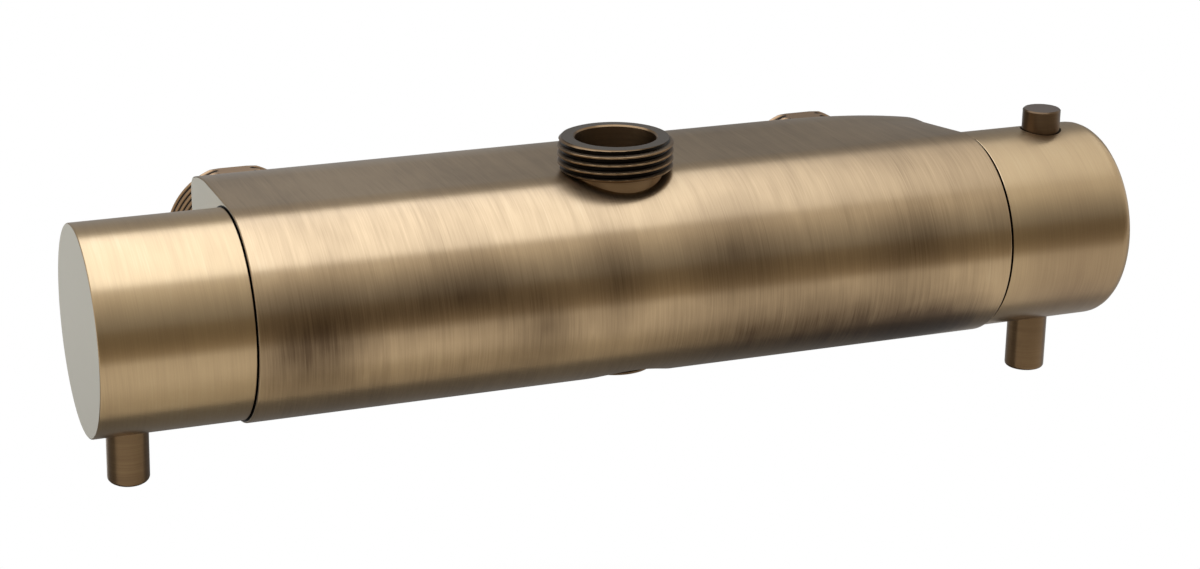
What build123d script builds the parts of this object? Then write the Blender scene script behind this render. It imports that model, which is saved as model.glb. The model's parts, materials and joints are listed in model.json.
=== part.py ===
from build123d import *
import math
import os

os.makedirs("parts", exist_ok=True)

# Exposed bar shower mixer. X runs along the bar, from the flow handle (-X) to the
# temperature handle (+X), Y runs to the wall and Z up. The origin is midway between
# the inlets, on the plane where their washers seal. Sizes are in millimetres.

# Fits
slip = 0.1  # pieces that are pushed or screwed together
running = 0.08  # radial play of what turns or slides
seal_play = 0.05  # a rubber ring and the wall that it meets
stand_off = 0.3  # play along the axis of a piece that is only retained

# Bar and body
body_length = 181.0
body_radius = 23.9  # the round front
body_depth = 36.7  # axis to flat back
shoulder_start = 20.3  # where the flat top starts to fall to the back
back_height = 20.2  # half height of the back, before its corners are rounded
back_corner = 4.0
edge_break = 0.4
inlet_pitch = 150.0

# Handles
handle_step = 0.4  # the handles are this much smaller than the round front
handle_radius = body_radius - handle_step
handle_length = 33.0
handle_wall = 4.0
end_wall = 3.0
end_edge = 0.7
seam_gap = 0.6
hub_radius = 9.0
hub_length = 16.0
flow_lever_station = 23.7  # body's end to the lever's line
temperature_lever_station = 20.3
lever_radius = 4.75
lever_reach = 37.4  # bar axis to the lever's end
lever_seat = 2.0  # depth of the lever's seat in the handle
lever_stud = 2.9
lever_round = 0.8
flow_lean = -6.0  # degrees by which each handle is turned with its top to the wall
temperature_lean = 0.0

# Spindles
spindle_radius = 6.12
neck_radius = 9.4
neck_reach = 6.5
spline_root = 3.6
spline_tip = 4.1
spline_teeth = 12
spline_tooth_width = 0.9
spline_end = 3.0  # from the spline's end to the handle's end wall
spindle_groove = 1.0

# Cartridges
temperature_pocket_radius = 16.0
temperature_pocket_depth = 56.5
temperature_mouth_radius = 17.5
temperature_mouth_depth = 12.5
flow_pocket_radius = 14.0
flow_pocket_depth = 40.5
flow_mouth_radius = 15.5
flow_mouth_depth = 10.5
nut_flange = 3.3
nut_flange_step = 1.1
nut_notches = 6
nut_notch_width = 4.0
nut_notch_depth = 2.0
seal_wire = 1.0
seal_groove_width = 2.4
gallery_depth = 2.3
cartridge_wall = 5.4
window_radius = 2.6
window_count = 4
hot_port_depth = 44.5
cold_port_depth = 26.5
gallery_length = 10.0
retaining_wall = 6.0
end_lip = 2.0
end_lip_bore = 6.0

# Thermal element
shuttle_length = 10.0
shuttle_sleeve = 1.4
shuttle_web = 4.0
shuttle_holes = 6
shuttle_hole_radius = 1.3
wax_radius = 5.0
wax_length = 18.0
wax_collar_radius = 6.8
wax_collar_length = 1.5
push_rod_radius = 2.0
push_rod_length = 16.0
push_socket_depth = 8.5
spindle_flange_radius = 8.0
spindle_flange_length = 1.5
return_spring_radius = 7.1
return_spring_wire = 0.7
return_spring_turns = 5

# Ceramic discs of the flow cartridge
gasket_thickness = 2.0
disc_thickness = 3.0
disc_radius = 12.5
disc_play = 0.05
port_offset = 7.0
port_radius = 2.4
inlet_port_radius = 3.0
peg_radius = 1.5
peg_offset = 9.0
peg_length = 1.6
drive_length = 3.4
way_depth = 1.6

# Safety button and stop ring
button_radius = 4.5
button_hole_gap = 0.4
button_proud = 5.0
button_chamfer = 0.3
button_travel = 3.0
button_flange_radius = 5.5
button_flange_top = 18.5
button_flange_length = 1.2
button_stem_radius = 2.0
button_stem_end = 10.5
button_spring_radius = 2.8
button_spring_wire = 0.35
button_spring_turns = 5
spring_pocket_radius = 3.6
spring_pocket_floor = 8.3
stop_ring_thickness = 2.0
stop_ring_radius = 14.0
stop_lug_wall = 1.5
stop_lug_gap = 3.0  # the lug's end to the button's stem
stop_lug_arc = 24.0
stop_lug_angle = 20.0

# Outlets
top_thread_radius = 13.22
top_thread_length = 7.6
top_neck_length = 0.5  # between the body and the thread
top_bore = 9.8
top_throat = 7.5
top_neck_radius = 11.0
top_seat = 14.0
top_chamfer = 0.9
washer_thickness = 1.0
bottom_thread_radius = 10.48
bottom_recess_radius = 14.0
bottom_recess_height = 13.0
bottom_thread_length = 7.6
bottom_bore = 6.3
bottom_spigot_radius = 8.4
bottom_spigot_length = 3.0
bottom_chamfer = 0.8
gallery_top = 4.9

# Inlets
duct_inset = 10.7  # the body's back to the line of the hot and cold ducts
duct_radius = 4.0
tail_socket_radius = 10.5
tail_socket_depth = 9.5
tail_bore = 7.6
collar_radius = 12.2
collar_end = 45.0
shank_radius = 10.2
tail_flange_radius = 11.7
tail_flange_length = 2.0
lip_length = 2.7
nut_radius = 16.3
nut_across_flats = 30.0
nut_relief_radius = 12.5
nut_thread_radius = 12.06
nut_thread_length = 5.2
nut_edge = 0.6
inlet_washer_thickness = 2.0
inlet_washer_bore = 7.0
strainer_thickness = 0.8
strainer_holes = 6
strainer_hole_radius = 1.6
strainer_pitch_radius = 4.6

# Check valves
valve_radius = 7.5
valve_length = 16.0
valve_bore = 5.6
valve_seat_bore = 3.8
valve_seat_length = 3.0
valve_guide_length = 2.0
poppet_radius = 4.9
poppet_thickness = 1.5
poppet_stem_radius = 1.2
poppet_play = 0.05
guide_slots = 3
guide_slot_radius = 1.3
guide_slot_offset = 3.6
valve_spring_radius = 2.6
valve_spring_wire = 0.3
valve_spring_turns = 4

# Places that several pieces share
body_half = body_length / 2
inlet_station = inlet_pitch / 2
duct_depth = body_depth - duct_inset
rim_station = body_half + seam_gap
handle_end = rim_station + handle_length
cavity_end = handle_end - end_wall
cavity_radius = handle_radius - handle_wall
hub_face = cavity_end - hub_length
flow_lever_line = body_half + flow_lever_station
button_station = body_half + temperature_lever_station
spindle_bore = spindle_radius + running
neck_end = body_half + neck_reach
spline_station = cavity_end - spline_end
temperature_floor = body_half - temperature_pocket_depth
temperature_shoulder = body_half - temperature_mouth_depth
flow_floor = body_half - flow_pocket_depth
flow_shoulder = body_half - flow_mouth_depth
hot_port = body_half - hot_port_depth
cold_port = body_half - cold_port_depth
nut_start = collar_end + stand_off
nut_lip_end = nut_start + lip_length
tail_flange_start = nut_lip_end + stand_off
tail_end = tail_flange_start + tail_flange_length
washer_end = tail_end + inlet_washer_thickness
nut_end = washer_end + nut_thread_length
tail_start = body_depth - tail_socket_depth + stand_off
valve_end = tail_end - strainer_thickness
valve_start = valve_end - valve_length

# The bar's axis in front of the origin, and the planes and lines laid through it
bar_line = -washer_end
level = Plane((0, bar_line, 0))
bar_axis = Axis((0, bar_line, 0), (1, 0, 0))


def ring(start, end, inner, outer):
    """Adds to the open sketch the section of a ring round the bar's axis."""
    with Locations(((start + end) / 2, (inner + outer) / 2)):
        Rectangle(abs(end - start), outer - inner)


def collar(start, end, inner, outer, station):
    """Adds the section of a ring round a line that crosses the bar at the station."""
    with Locations((station + (inner + outer) / 2, (start + end) / 2)):
        Rectangle(outer - inner, abs(end - start))


def across(station):
    """The plane square to the bar at the station."""
    return Plane((station, bar_line, 0), x_dir=(0, 1, 0), z_dir=(1, 0, 0))


def leaning(turn):
    """The plane along the bar's axis that leans back from upright by the turn."""
    lean = math.radians(turn)
    return Plane((0, bar_line, 0), x_dir=(1, 0, 0), z_dir=(0, -math.cos(lean), math.sin(lean)))


def cross_line(station, turn):
    """The line square to the bar that lies in the leaning plane."""
    lean = math.radians(turn)
    return Axis((station, bar_line, 0), (0, math.sin(lean), math.cos(lean)))


def inlet_line(station):
    """The centre line of an inlet, from the bar's axis to the wall."""
    return Axis((station, bar_line, 0), (0, 1, 0))


def spline_section(play):
    """Adds the toothed section of a spindle's end, made wider by the play."""
    Circle(spline_root + play)
    tooth = spline_tip - spline_root / 2
    with PolarLocations(spline_tip + play - tooth / 2, spline_teeth):
        Rectangle(tooth, spline_tooth_width + 2 * play)


def coil(start, end, radius, wire, turns, direction):
    """A coil spring of round wire, whose outside reaches from start to end."""
    first = Vector(start) + Vector(direction) * wire
    height = (Vector(end) - Vector(start)).length - 2 * wire
    with BuildPart() as spring:
        with BuildLine():
            path = Helix(height / turns, height, radius, center=first, direction=direction)
        with BuildSketch(Plane(path @ 0, z_dir=path % 0)):
            Circle(wire)
        sweep(path=path, is_frenet=True)
    return spring


def save(piece, name):
    """Labels a finished piece and writes it to its own file."""
    piece.part.label = name
    export_step(piece.part, f"parts/{name}.step")


# Body: a cast D-section bar, bored from both ends for its cartridges
with BuildPart() as body:
    with BuildSketch(across(-body_half)) as section:
        with BuildLine():
            top = Line((0, body_radius), (shoulder_start, body_radius))
            shoulder = TangentArc(top @ 1, (body_depth, back_height), tangent=(1, 0))
            mirror(about=Plane.XZ)
            Line((body_depth, back_height), (body_depth, -back_height))
            ThreePointArc((0, body_radius), (-body_radius, 0), (0, -body_radius))
        make_face()
        fillet(section.vertices().group_by(Axis.X)[-1], back_corner)
    extrude(amount=body_length)
    fillet(body.faces().filter_by(Axis.X).edges(), edge_break)
    # pockets for the two cartridges and the way between them
    with BuildSketch(level):
        ring(temperature_floor, body_half, 0, temperature_pocket_radius)
        ring(temperature_shoulder, body_half, 0, temperature_mouth_radius)
        ring(-flow_floor, -body_half, 0, flow_pocket_radius)
        ring(-flow_shoulder, -body_half, 0, flow_mouth_radius)
        ring(-flow_floor, temperature_floor, 0, inlet_port_radius)
    revolve(axis=bar_axis, mode=Mode.SUBTRACT)
    # ways from the flow cartridge to the top and bottom outlets
    with BuildSketch(across(-flow_floor)):
        with Locations((0, port_offset), (0, -port_offset)):
            Circle(port_radius)
    extrude(amount=flow_floor, mode=Mode.SUBTRACT)
    with BuildSketch(leaning(0)):
        collar(gallery_top, top_seat, 0, top_throat, 0)
        collar(top_seat, body_radius, 0, top_neck_radius + slip, 0)
        collar(-bottom_recess_height, -body_radius, 0, bottom_recess_radius, 0)
        spigot_top = bottom_recess_height - bottom_spigot_length
        collar(-spigot_top, -bottom_recess_height, 0, bottom_spigot_radius + slip, 0)
        collar(-gallery_top, -spigot_top, 0, bottom_bore, 0)
    revolve(axis=cross_line(0, 0), mode=Mode.SUBTRACT)
    # inlet sockets, with ducts that lead to the temperature cartridge
    for start, end in ((-inlet_station, hot_port), (inlet_station, cold_port)):
        with BuildSketch(level):
            collar(body_depth - tail_socket_depth, body_depth, 0, tail_socket_radius, start)
        revolve(axis=inlet_line(start), mode=Mode.SUBTRACT)
        with BuildSketch(across(start)):
            with Locations((duct_depth, 0)):
                Circle(duct_radius)
        extrude(amount=end - start, mode=Mode.SUBTRACT)
        with BuildSketch(leaning(0).offset(-duct_depth)):
            with Locations((end, 0)):
                Circle(duct_radius)
        extrude(amount=duct_depth - temperature_pocket_radius / 2, mode=Mode.SUBTRACT)
save(body, "body")

# Top outlet: a turned nipple, screwed into the top of the body on a washer
with BuildPart() as top_outlet:
    with BuildSketch(leaning(0)):
        thread_start = body_radius + top_neck_length
        thread_end = thread_start + top_thread_length
        collar(top_seat + washer_thickness, thread_start, top_throat, top_neck_radius, 0)
        collar(thread_start, thread_end, top_bore, top_thread_radius, 0)
    revolve(axis=cross_line(0, 0))
    rims = top_outlet.edges().filter_by(GeomType.CIRCLE).filter_by(
        lambda edge: abs(edge.radius - top_thread_radius) < slip
    )
    chamfer(rims, top_chamfer)
save(top_outlet, "top_outlet")

with BuildPart() as top_washer:
    with BuildSketch(leaning(0)):
        collar(top_seat, top_seat + washer_thickness, top_throat, top_neck_radius, 0)
    revolve(axis=cross_line(0, 0))
save(top_washer, "top_outlet_washer")

# Bottom outlet: a nipple that stands in a recess, so that the hose nut goes in round it
with BuildPart() as bottom_outlet:
    with BuildSketch(leaning(0)):
        bottom_seat = bottom_recess_height + washer_thickness
        collar(-spigot_top, -bottom_seat, bottom_bore, bottom_spigot_radius, 0)
        bottom_end = bottom_seat + bottom_thread_length
        collar(-bottom_seat, -bottom_end, bottom_bore, bottom_thread_radius, 0)
    revolve(axis=cross_line(0, 0))
    rim = bottom_outlet.edges().filter_by(GeomType.CIRCLE).group_by(Axis.Z)[0]
    chamfer(rim.sort_by(SortBy.RADIUS)[-1], bottom_chamfer)
save(bottom_outlet, "bottom_outlet")

with BuildPart() as bottom_washer:
    with BuildSketch(leaning(0)):
        bore = bottom_spigot_radius + slip
        collar(-bottom_recess_height, -bottom_seat, bore, bottom_thread_radius, 0)
    revolve(axis=cross_line(0, 0))
save(bottom_washer, "bottom_outlet_washer")

# Inlets: each has a tail screwed into the body, a swivel nut on the tail, a sealing
# washer, a strainer and a check valve that opens towards the body
for side, station in (("hot", -inlet_station), ("cold", inlet_station)):
    line = inlet_line(station)

    with BuildPart() as tail:
        with BuildSketch(level):
            socket_fit = tail_socket_radius - slip
            collar(tail_start, body_depth, tail_bore, socket_fit, station)
            collar(body_depth, collar_end, tail_bore, collar_radius, station)
            collar(collar_end, tail_flange_start, tail_bore, shank_radius, station)
            collar(tail_flange_start, tail_end, tail_bore, tail_flange_radius, station)
        revolve(axis=line)
    save(tail, f"inlet_tail_{side}")

    # the nut is a round ring with two parallel spanner flats milled on it
    with BuildPart() as nut:
        with BuildSketch(level):
            collar(nut_start, nut_lip_end, shank_radius + running, nut_radius, station)
            collar(nut_lip_end, washer_end, nut_relief_radius, nut_radius, station)
            collar(washer_end, nut_end, nut_thread_radius, nut_radius, station)
        revolve(axis=line)
        outside = nut.edges().filter_by(GeomType.CIRCLE).group_by(SortBy.RADIUS)[-1]
        chamfer(outside, nut_edge)
        with BuildSketch(leaning(0).offset(-nut_start)):
            with Locations((station, 0)):
                Rectangle(2 * nut_radius, nut_across_flats)
        extrude(amount=-(nut_end - nut_start), mode=Mode.INTERSECT)
    save(nut, f"inlet_nut_{side}")

    with BuildPart() as washer:
        with BuildSketch(level):
            collar(tail_end, washer_end, inlet_washer_bore, tail_flange_radius, station)
        revolve(axis=line)
    save(washer, f"inlet_washer_{side}")

    with BuildPart() as strainer:
        with BuildSketch(leaning(0).offset(-valve_end)):
            with Locations((station, 0)):
                Circle(tail_bore - slip)
                Circle(strainer_hole_radius, mode=Mode.SUBTRACT)
                with PolarLocations(strainer_pitch_radius, strainer_holes):
                    Circle(strainer_hole_radius, mode=Mode.SUBTRACT)
        extrude(amount=-strainer_thickness)
    save(strainer, f"inlet_strainer_{side}")

    guide_end = valve_start + valve_guide_length
    seat_start = valve_end - valve_seat_length
    with BuildPart() as valve:
        with BuildSketch(level):
            collar(valve_start, valve_end, valve_bore, valve_radius, station)
            collar(seat_start, valve_end, valve_seat_bore, valve_radius, station)
            guide_bore = poppet_stem_radius + running
            collar(valve_start, guide_end, guide_bore, valve_radius, station)
        revolve(axis=line)
        with BuildSketch(leaning(0).offset(-guide_end)):
            with Locations((station, 0)):
                with PolarLocations(guide_slot_offset, guide_slots):
                    Circle(guide_slot_radius)
        extrude(amount=valve_guide_length, mode=Mode.SUBTRACT)
    save(valve, f"check_valve_{side}")

    poppet_face = seat_start - poppet_play
    poppet_back = poppet_face - poppet_thickness
    with BuildPart() as poppet:
        with BuildSketch(level):
            collar(poppet_back, poppet_face, 0, poppet_radius, station)
            collar(valve_start, poppet_back, 0, poppet_stem_radius, station)
        revolve(axis=line)
    save(poppet, f"check_poppet_{side}")

    spring = coil(
        (station, bar_line + guide_end, 0),
        (station, bar_line + poppet_back, 0),
        valve_spring_radius,
        valve_spring_wire,
        valve_spring_turns,
        (0, 1, 0),
    )
    save(spring, f"check_spring_{side}")

# Temperature cartridge: a brass sleeve with a hot and a cold gallery and three seals
cartridge_radius = temperature_pocket_radius - slip
cartridge_bore = temperature_pocket_radius - cartridge_wall - slip
gallery_radius = cartridge_radius - gallery_depth
seal_groove = temperature_pocket_radius - 2 * seal_wire - seal_play
inner_wall = temperature_shoulder - retaining_wall
port_gap = (hot_port + cold_port) / 2
seal_edge = seal_groove_width / 2
seal_stations = (
    (temperature_floor + hot_port - gallery_length / 2) / 2,
    port_gap,
    (cold_port + gallery_length / 2 + temperature_shoulder) / 2,
)
with BuildPart() as temperature_cartridge:
    with BuildSketch(level):
        ring(temperature_floor, temperature_shoulder, cartridge_bore, cartridge_radius)
        ring(temperature_floor, temperature_floor + end_lip, end_lip_bore, cartridge_radius)
        ring(inner_wall, temperature_shoulder, spindle_bore, cartridge_radius)
        ring(temperature_shoulder, neck_end, spindle_bore, neck_radius)
    revolve(axis=bar_axis)
    with BuildSketch(level):
        for port in (hot_port, cold_port):
            edge = gallery_length / 2
            ring(port - edge, port + edge, gallery_radius, cartridge_radius + slip)
        for place in seal_stations:
            ring(place - seal_edge, place + seal_edge, seal_groove, cartridge_radius + slip)
    revolve(axis=bar_axis, mode=Mode.SUBTRACT)
    for port in (hot_port, cold_port):
        for step in range(window_count):
            turn = (step + 0.5) * 360 / window_count
            with BuildSketch(leaning(turn).offset(cartridge_bore - slip)):
                with Locations((port, 0)):
                    Circle(window_radius)
            extrude(amount=cartridge_wall, mode=Mode.SUBTRACT)
save(temperature_cartridge, "temperature_cartridge")

with BuildPart() as temperature_seals:
    with BuildSketch(level):
        for place in seal_stations:
            with Locations((place, temperature_pocket_radius - seal_wire - seal_play / 2)):
                Circle(seal_wire)
    revolve(axis=bar_axis)
save(temperature_seals, "temperature_seals")

# Thermal element: the wax capsule carries the shuttle and pushes back on the spindle
shuttle_start = port_gap - shuttle_length / 2
web_start = port_gap - shuttle_web / 2
web_end = port_gap + shuttle_web / 2
shuttle_radius = cartridge_bore - running
sleeve_bore = shuttle_radius - shuttle_sleeve
with BuildPart() as mixing_shuttle:
    with BuildSketch(level):
        ring(shuttle_start, shuttle_start + shuttle_length, sleeve_bore, shuttle_radius)
        ring(web_start, web_end, wax_radius + slip, shuttle_radius)
    revolve(axis=bar_axis)
    with BuildSketch(across(web_start)):
        with PolarLocations((wax_radius + sleeve_bore) / 2, shuttle_holes):
            Circle(shuttle_hole_radius)
    extrude(amount=shuttle_web, mode=Mode.SUBTRACT)
save(mixing_shuttle, "mixing_shuttle")

wax_start = port_gap - wax_length / 2 - shuttle_web / 2
wax_end = wax_start + wax_length
with BuildPart() as wax_element:
    with BuildSketch(level):
        ring(wax_start, wax_end, 0, wax_radius)
        ring(web_end, web_end + wax_collar_length, 0, wax_collar_radius)
        ring(wax_end, wax_end + push_rod_length, 0, push_rod_radius)
    revolve(axis=bar_axis)
save(wax_element, "wax_element")

return_spring = coil(
    (temperature_floor + end_lip, bar_line, 0),
    (web_start, bar_line, 0),
    return_spring_radius,
    return_spring_wire,
    return_spring_turns,
    (1, 0, 0),
)
save(return_spring, "return_spring")

with BuildPart() as temperature_spindle:
    flange_end = inner_wall - stand_off
    flange_start = flange_end - spindle_flange_length
    with BuildSketch(level):
        ring(flange_start, flange_end, 0, spindle_flange_radius)
        ring(flange_end, neck_end, 0, spindle_radius)
    revolve(axis=bar_axis)
    with BuildSketch(across(neck_end)):
        spline_section(0)
    extrude(amount=spline_station - neck_end)
    with BuildSketch(level):
        ring(flange_start, flange_start + push_socket_depth, 0, push_rod_radius + running)
        groove = spindle_radius - 2 * spindle_groove + seal_play
        groove_end = body_half + 2 * spindle_groove
        ring(body_half, groove_end, groove, spindle_radius + slip)
    revolve(axis=bar_axis, mode=Mode.SUBTRACT)
save(temperature_spindle, "temperature_spindle")

# Flow cartridge: rubber gasket, a fixed and a turning ceramic disc, and their housing
gasket_end = flow_floor + gasket_thickness
fixed_end = gasket_end + disc_thickness
moving_start = fixed_end + disc_play
moving_end = moving_start + disc_thickness
drive_start = moving_end + disc_play
drive_end = drive_start + drive_length
housing_wall = drive_end + stand_off
flow_cartridge_radius = flow_pocket_radius - slip

for name, start, thickness, radius in (
    ("flow_gasket", flow_floor, gasket_thickness, flow_cartridge_radius),
    ("fixed_disc", gasket_end, disc_thickness, disc_radius),
):
    with BuildPart() as ported_disc:
        with BuildSketch(across(-start)):
            Circle(radius)
            Circle(inlet_port_radius, mode=Mode.SUBTRACT)
            with Locations((0, port_offset), (0, -port_offset)):
                Circle(port_radius, mode=Mode.SUBTRACT)
        extrude(amount=-thickness)
    save(ported_disc, name)

# the turning disc has a blind way that joins the inlet port to one outlet port
with BuildPart() as moving_disc:
    with BuildSketch(across(-moving_start)):
        Circle(disc_radius - slip)
    extrude(amount=-disc_thickness)
    with BuildSketch(across(-moving_start)):
        with Locations((port_offset / 2, 0)):
            SlotOverall(port_offset + 2 * inlet_port_radius, 2 * inlet_port_radius)
    extrude(amount=-way_depth, mode=Mode.SUBTRACT)
    with BuildSketch(across(-moving_end)):
        with Locations((0, peg_offset), (0, -peg_offset)):
            Circle(peg_radius + slip)
    extrude(amount=peg_length + slip, mode=Mode.SUBTRACT)
save(moving_disc, "moving_disc")

with BuildPart() as flow_cartridge:
    with BuildSketch(level):
        ring(-gasket_end, -housing_wall, disc_radius + slip, flow_cartridge_radius)
        ring(-housing_wall, -flow_shoulder, spindle_bore, flow_cartridge_radius)
        ring(-flow_shoulder, -neck_end, spindle_bore, neck_radius)
    revolve(axis=bar_axis)
    flow_seal = (housing_wall + flow_shoulder) / 2
    flow_groove = flow_pocket_radius - 2 * seal_wire - seal_play
    with BuildSketch(level):
        seal_start = flow_seal - seal_edge
        ring(-seal_start, -flow_seal - seal_edge, flow_groove, flow_pocket_radius)
    revolve(axis=bar_axis, mode=Mode.SUBTRACT)
save(flow_cartridge, "flow_cartridge")

with BuildPart() as flow_seal_ring:
    with BuildSketch(level):
        with Locations((-flow_seal, flow_pocket_radius - seal_wire - seal_play / 2)):
            Circle(seal_wire)
    revolve(axis=bar_axis)
save(flow_seal_ring, "flow_seal")

with BuildPart() as flow_spindle:
    with BuildSketch(level):
        ring(-drive_start, -drive_end, 0, disc_radius - slip)
        ring(-drive_end, -neck_end, 0, spindle_radius)
    revolve(axis=bar_axis)
    with BuildSketch(across(-drive_start)):
        with Locations((0, peg_offset), (0, -peg_offset)):
            Circle(peg_radius)
    extrude(amount=peg_length)
    with BuildSketch(across(-spline_station)):
        spline_section(0)
    extrude(amount=spline_station - neck_end)
    with BuildSketch(level):
        ring(-body_half, -groove_end, groove, spindle_radius + slip)
    revolve(axis=bar_axis, mode=Mode.SUBTRACT)
save(flow_spindle, "flow_spindle")

# A seal in each spindle's groove, and a nut that holds each cartridge in its pocket
for name, way, shoulder_at, thread in (
    ("temperature", 1, temperature_shoulder, temperature_mouth_radius),
    ("flow", -1, flow_shoulder, flow_mouth_radius),
):
    with BuildPart() as spindle_seal:
        with BuildSketch(level):
            middle = spindle_bore - spindle_groove - seal_play / 2
            with Locations((way * (body_half + spindle_groove), middle)):
                Circle(spindle_groove - seal_play)
        revolve(axis=bar_axis)
    save(spindle_seal, f"{name}_spindle_seal")

    with BuildPart() as cartridge_nut:
        flange_radius = thread + nut_flange_step
        with BuildSketch(level):
            ring(way * shoulder_at, way * body_half, neck_radius + slip, thread - slip)
            flange_face = body_half + nut_flange
            ring(way * body_half, way * flange_face, neck_radius + slip, flange_radius)
        revolve(axis=bar_axis)
        with BuildSketch(across(way * body_half)):
            with PolarLocations(flange_radius, nut_notches):
                Rectangle(2 * nut_notch_depth, nut_notch_width)
        extrude(amount=way * nut_flange, mode=Mode.SUBTRACT)
    save(cartridge_nut, f"{name}_nut")

# Stop ring: keyed on the cartridge's neck, with a lug that marks the safe limit
with BuildPart() as stop_ring:
    ring_start = body_half + nut_flange + stand_off
    ring_end = ring_start + stop_ring_thickness
    with BuildSketch(level):
        ring(ring_start, ring_end, neck_radius + slip, stop_ring_radius)
    revolve(axis=bar_axis)
    lug_end = button_station - button_stem_radius - stop_lug_gap
    with BuildSketch(leaning(temperature_lean - stop_lug_angle)):
        ring(ring_end, lug_end, stop_ring_radius - stop_lug_wall, stop_ring_radius)
    revolve(axis=bar_axis, revolution_arc=stop_lug_arc)
save(stop_ring, "stop_ring")

# Handles: turned cups with a splined hub, each with a lever pin screwed in from below
for name, way, station, turn in (
    ("temperature", 1, button_station, temperature_lean),
    ("flow", -1, -flow_lever_line, flow_lean),
):
    with BuildPart() as handle:
        with BuildSketch(level):
            ring(way * rim_station, way * handle_end, cavity_radius, handle_radius)
            ring(way * cavity_end, way * handle_end, 0, handle_radius)
            ring(way * hub_face, way * cavity_end, 0, hub_radius)
        revolve(axis=bar_axis)
        rims = handle.edges().filter_by(GeomType.CIRCLE).group_by(SortBy.RADIUS)[-1]
        fillet(rims.sort_by(Axis.X)[-1 if way > 0 else 0], end_edge)
        with BuildSketch(across(way * hub_face)):
            spline_section(running)
        extrude(amount=way * (hub_length - spline_end / 2), mode=Mode.SUBTRACT)
        # seat and screw hole of the lever
        with BuildSketch(leaning(turn)):
            seat = handle_radius - lever_seat
            collar(-seat, -handle_radius - slip, 0, lever_radius + slip, station)
            collar(-spline_root, -seat, 0, lever_stud + slip, station)
        revolve(axis=cross_line(station, turn), mode=Mode.SUBTRACT)
        if name == "temperature":
            # guide hole of the button, and the pocket of its spring in the hub
            with BuildSketch(leaning(turn)):
                guide = button_radius + button_hole_gap
                stem_hole = button_stem_radius + running
                stem_floor = button_stem_end - button_travel - 2 * stand_off
                collar(hub_radius, handle_radius + slip, 0, guide, station)
                collar(spring_pocket_floor, hub_radius, 0, spring_pocket_radius, station)
                collar(stem_floor, hub_radius, 0, stem_hole, station)
            revolve(axis=cross_line(station, turn), mode=Mode.SUBTRACT)
    save(handle, f"{name}_handle")

    with BuildPart() as lever:
        with BuildSketch(leaning(turn)):
            collar(-seat, -lever_reach, 0, lever_radius, station)
            collar(-spline_tip - stand_off, -seat, 0, lever_stud, station)
        revolve(axis=cross_line(station, turn))
        tips = lever.edges().filter_by(GeomType.CIRCLE).group_by(Axis.Z)[0]
        fillet(tips, lever_round)
    save(lever, f"{name}_lever")

# Safety button: slides in the temperature handle, held out by a spring on the hub
with BuildPart() as safety_button:
    button_top = handle_radius + button_proud
    flange_under = button_flange_top - button_flange_length
    with BuildSketch(leaning(temperature_lean)):
        collar(button_flange_top, button_top, 0, button_radius, button_station)
        collar(flange_under, button_flange_top, 0, button_flange_radius, button_station)
        collar(button_stem_end, flange_under, 0, button_stem_radius, button_station)
    revolve(axis=cross_line(button_station, temperature_lean))
    crown = safety_button.edges().filter_by(GeomType.CIRCLE).group_by(Axis.Z)[-1]
    chamfer(crown, button_chamfer)
save(safety_button, "safety_button")

button_line = cross_line(button_station, temperature_lean)
button_spring = coil(
    button_line.position + button_line.direction * spring_pocket_floor,
    button_line.position + button_line.direction * flange_under,
    button_spring_radius,
    button_spring_wire,
    button_spring_turns,
    button_line.direction,
)
save(button_spring, "button_spring")
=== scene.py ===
import json
import math

import bpy
import numpy as np
from mathutils import Matrix, Vector


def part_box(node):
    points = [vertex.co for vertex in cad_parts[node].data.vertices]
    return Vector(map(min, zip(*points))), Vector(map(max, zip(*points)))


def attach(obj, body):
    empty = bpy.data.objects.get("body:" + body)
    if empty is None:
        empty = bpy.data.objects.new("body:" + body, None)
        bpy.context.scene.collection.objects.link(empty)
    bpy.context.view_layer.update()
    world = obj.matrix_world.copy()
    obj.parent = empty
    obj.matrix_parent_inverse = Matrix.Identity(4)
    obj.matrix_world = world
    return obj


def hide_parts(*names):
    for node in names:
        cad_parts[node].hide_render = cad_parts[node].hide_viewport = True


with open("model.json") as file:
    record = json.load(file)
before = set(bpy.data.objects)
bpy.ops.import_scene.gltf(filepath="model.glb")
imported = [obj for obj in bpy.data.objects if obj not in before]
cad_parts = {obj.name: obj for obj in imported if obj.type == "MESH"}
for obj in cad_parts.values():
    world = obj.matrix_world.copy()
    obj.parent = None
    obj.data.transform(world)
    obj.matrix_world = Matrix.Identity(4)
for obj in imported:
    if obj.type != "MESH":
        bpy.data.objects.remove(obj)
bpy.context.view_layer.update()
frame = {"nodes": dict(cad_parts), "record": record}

# Camera
# A long lens looks down on the bar from the front left. The picture is an off-centre part
# of the lens's field, which the small shift stands for.
mm = 0.001
flow_low, flow_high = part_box("flow_handle")
bar_y = (flow_low.y + flow_high.y) / 2
eye_from_bar = Vector((-208.3, -508.8, 182.6)) * mm  # from the middle of the bar's axis
eye_yaw, eye_pitch, eye_roll = math.radians(19.53), math.radians(19.08), math.radians(0.10)
focal_length, lens_centre = 2508.0, (500.0, 300.0)  # in the picture's own pixels
picture_width, picture_height, sensor_width = 1200, 569, 36.0

forward = Vector((math.sin(eye_yaw) * math.cos(eye_pitch),
                  math.cos(eye_yaw) * math.cos(eye_pitch), -math.sin(eye_pitch)))
level_right = Vector((math.cos(eye_yaw), -math.sin(eye_yaw), 0))
level_down = forward.cross(level_right)
right = math.cos(eye_roll) * level_right + math.sin(eye_roll) * level_down
down = math.cos(eye_roll) * level_down - math.sin(eye_roll) * level_right

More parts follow.
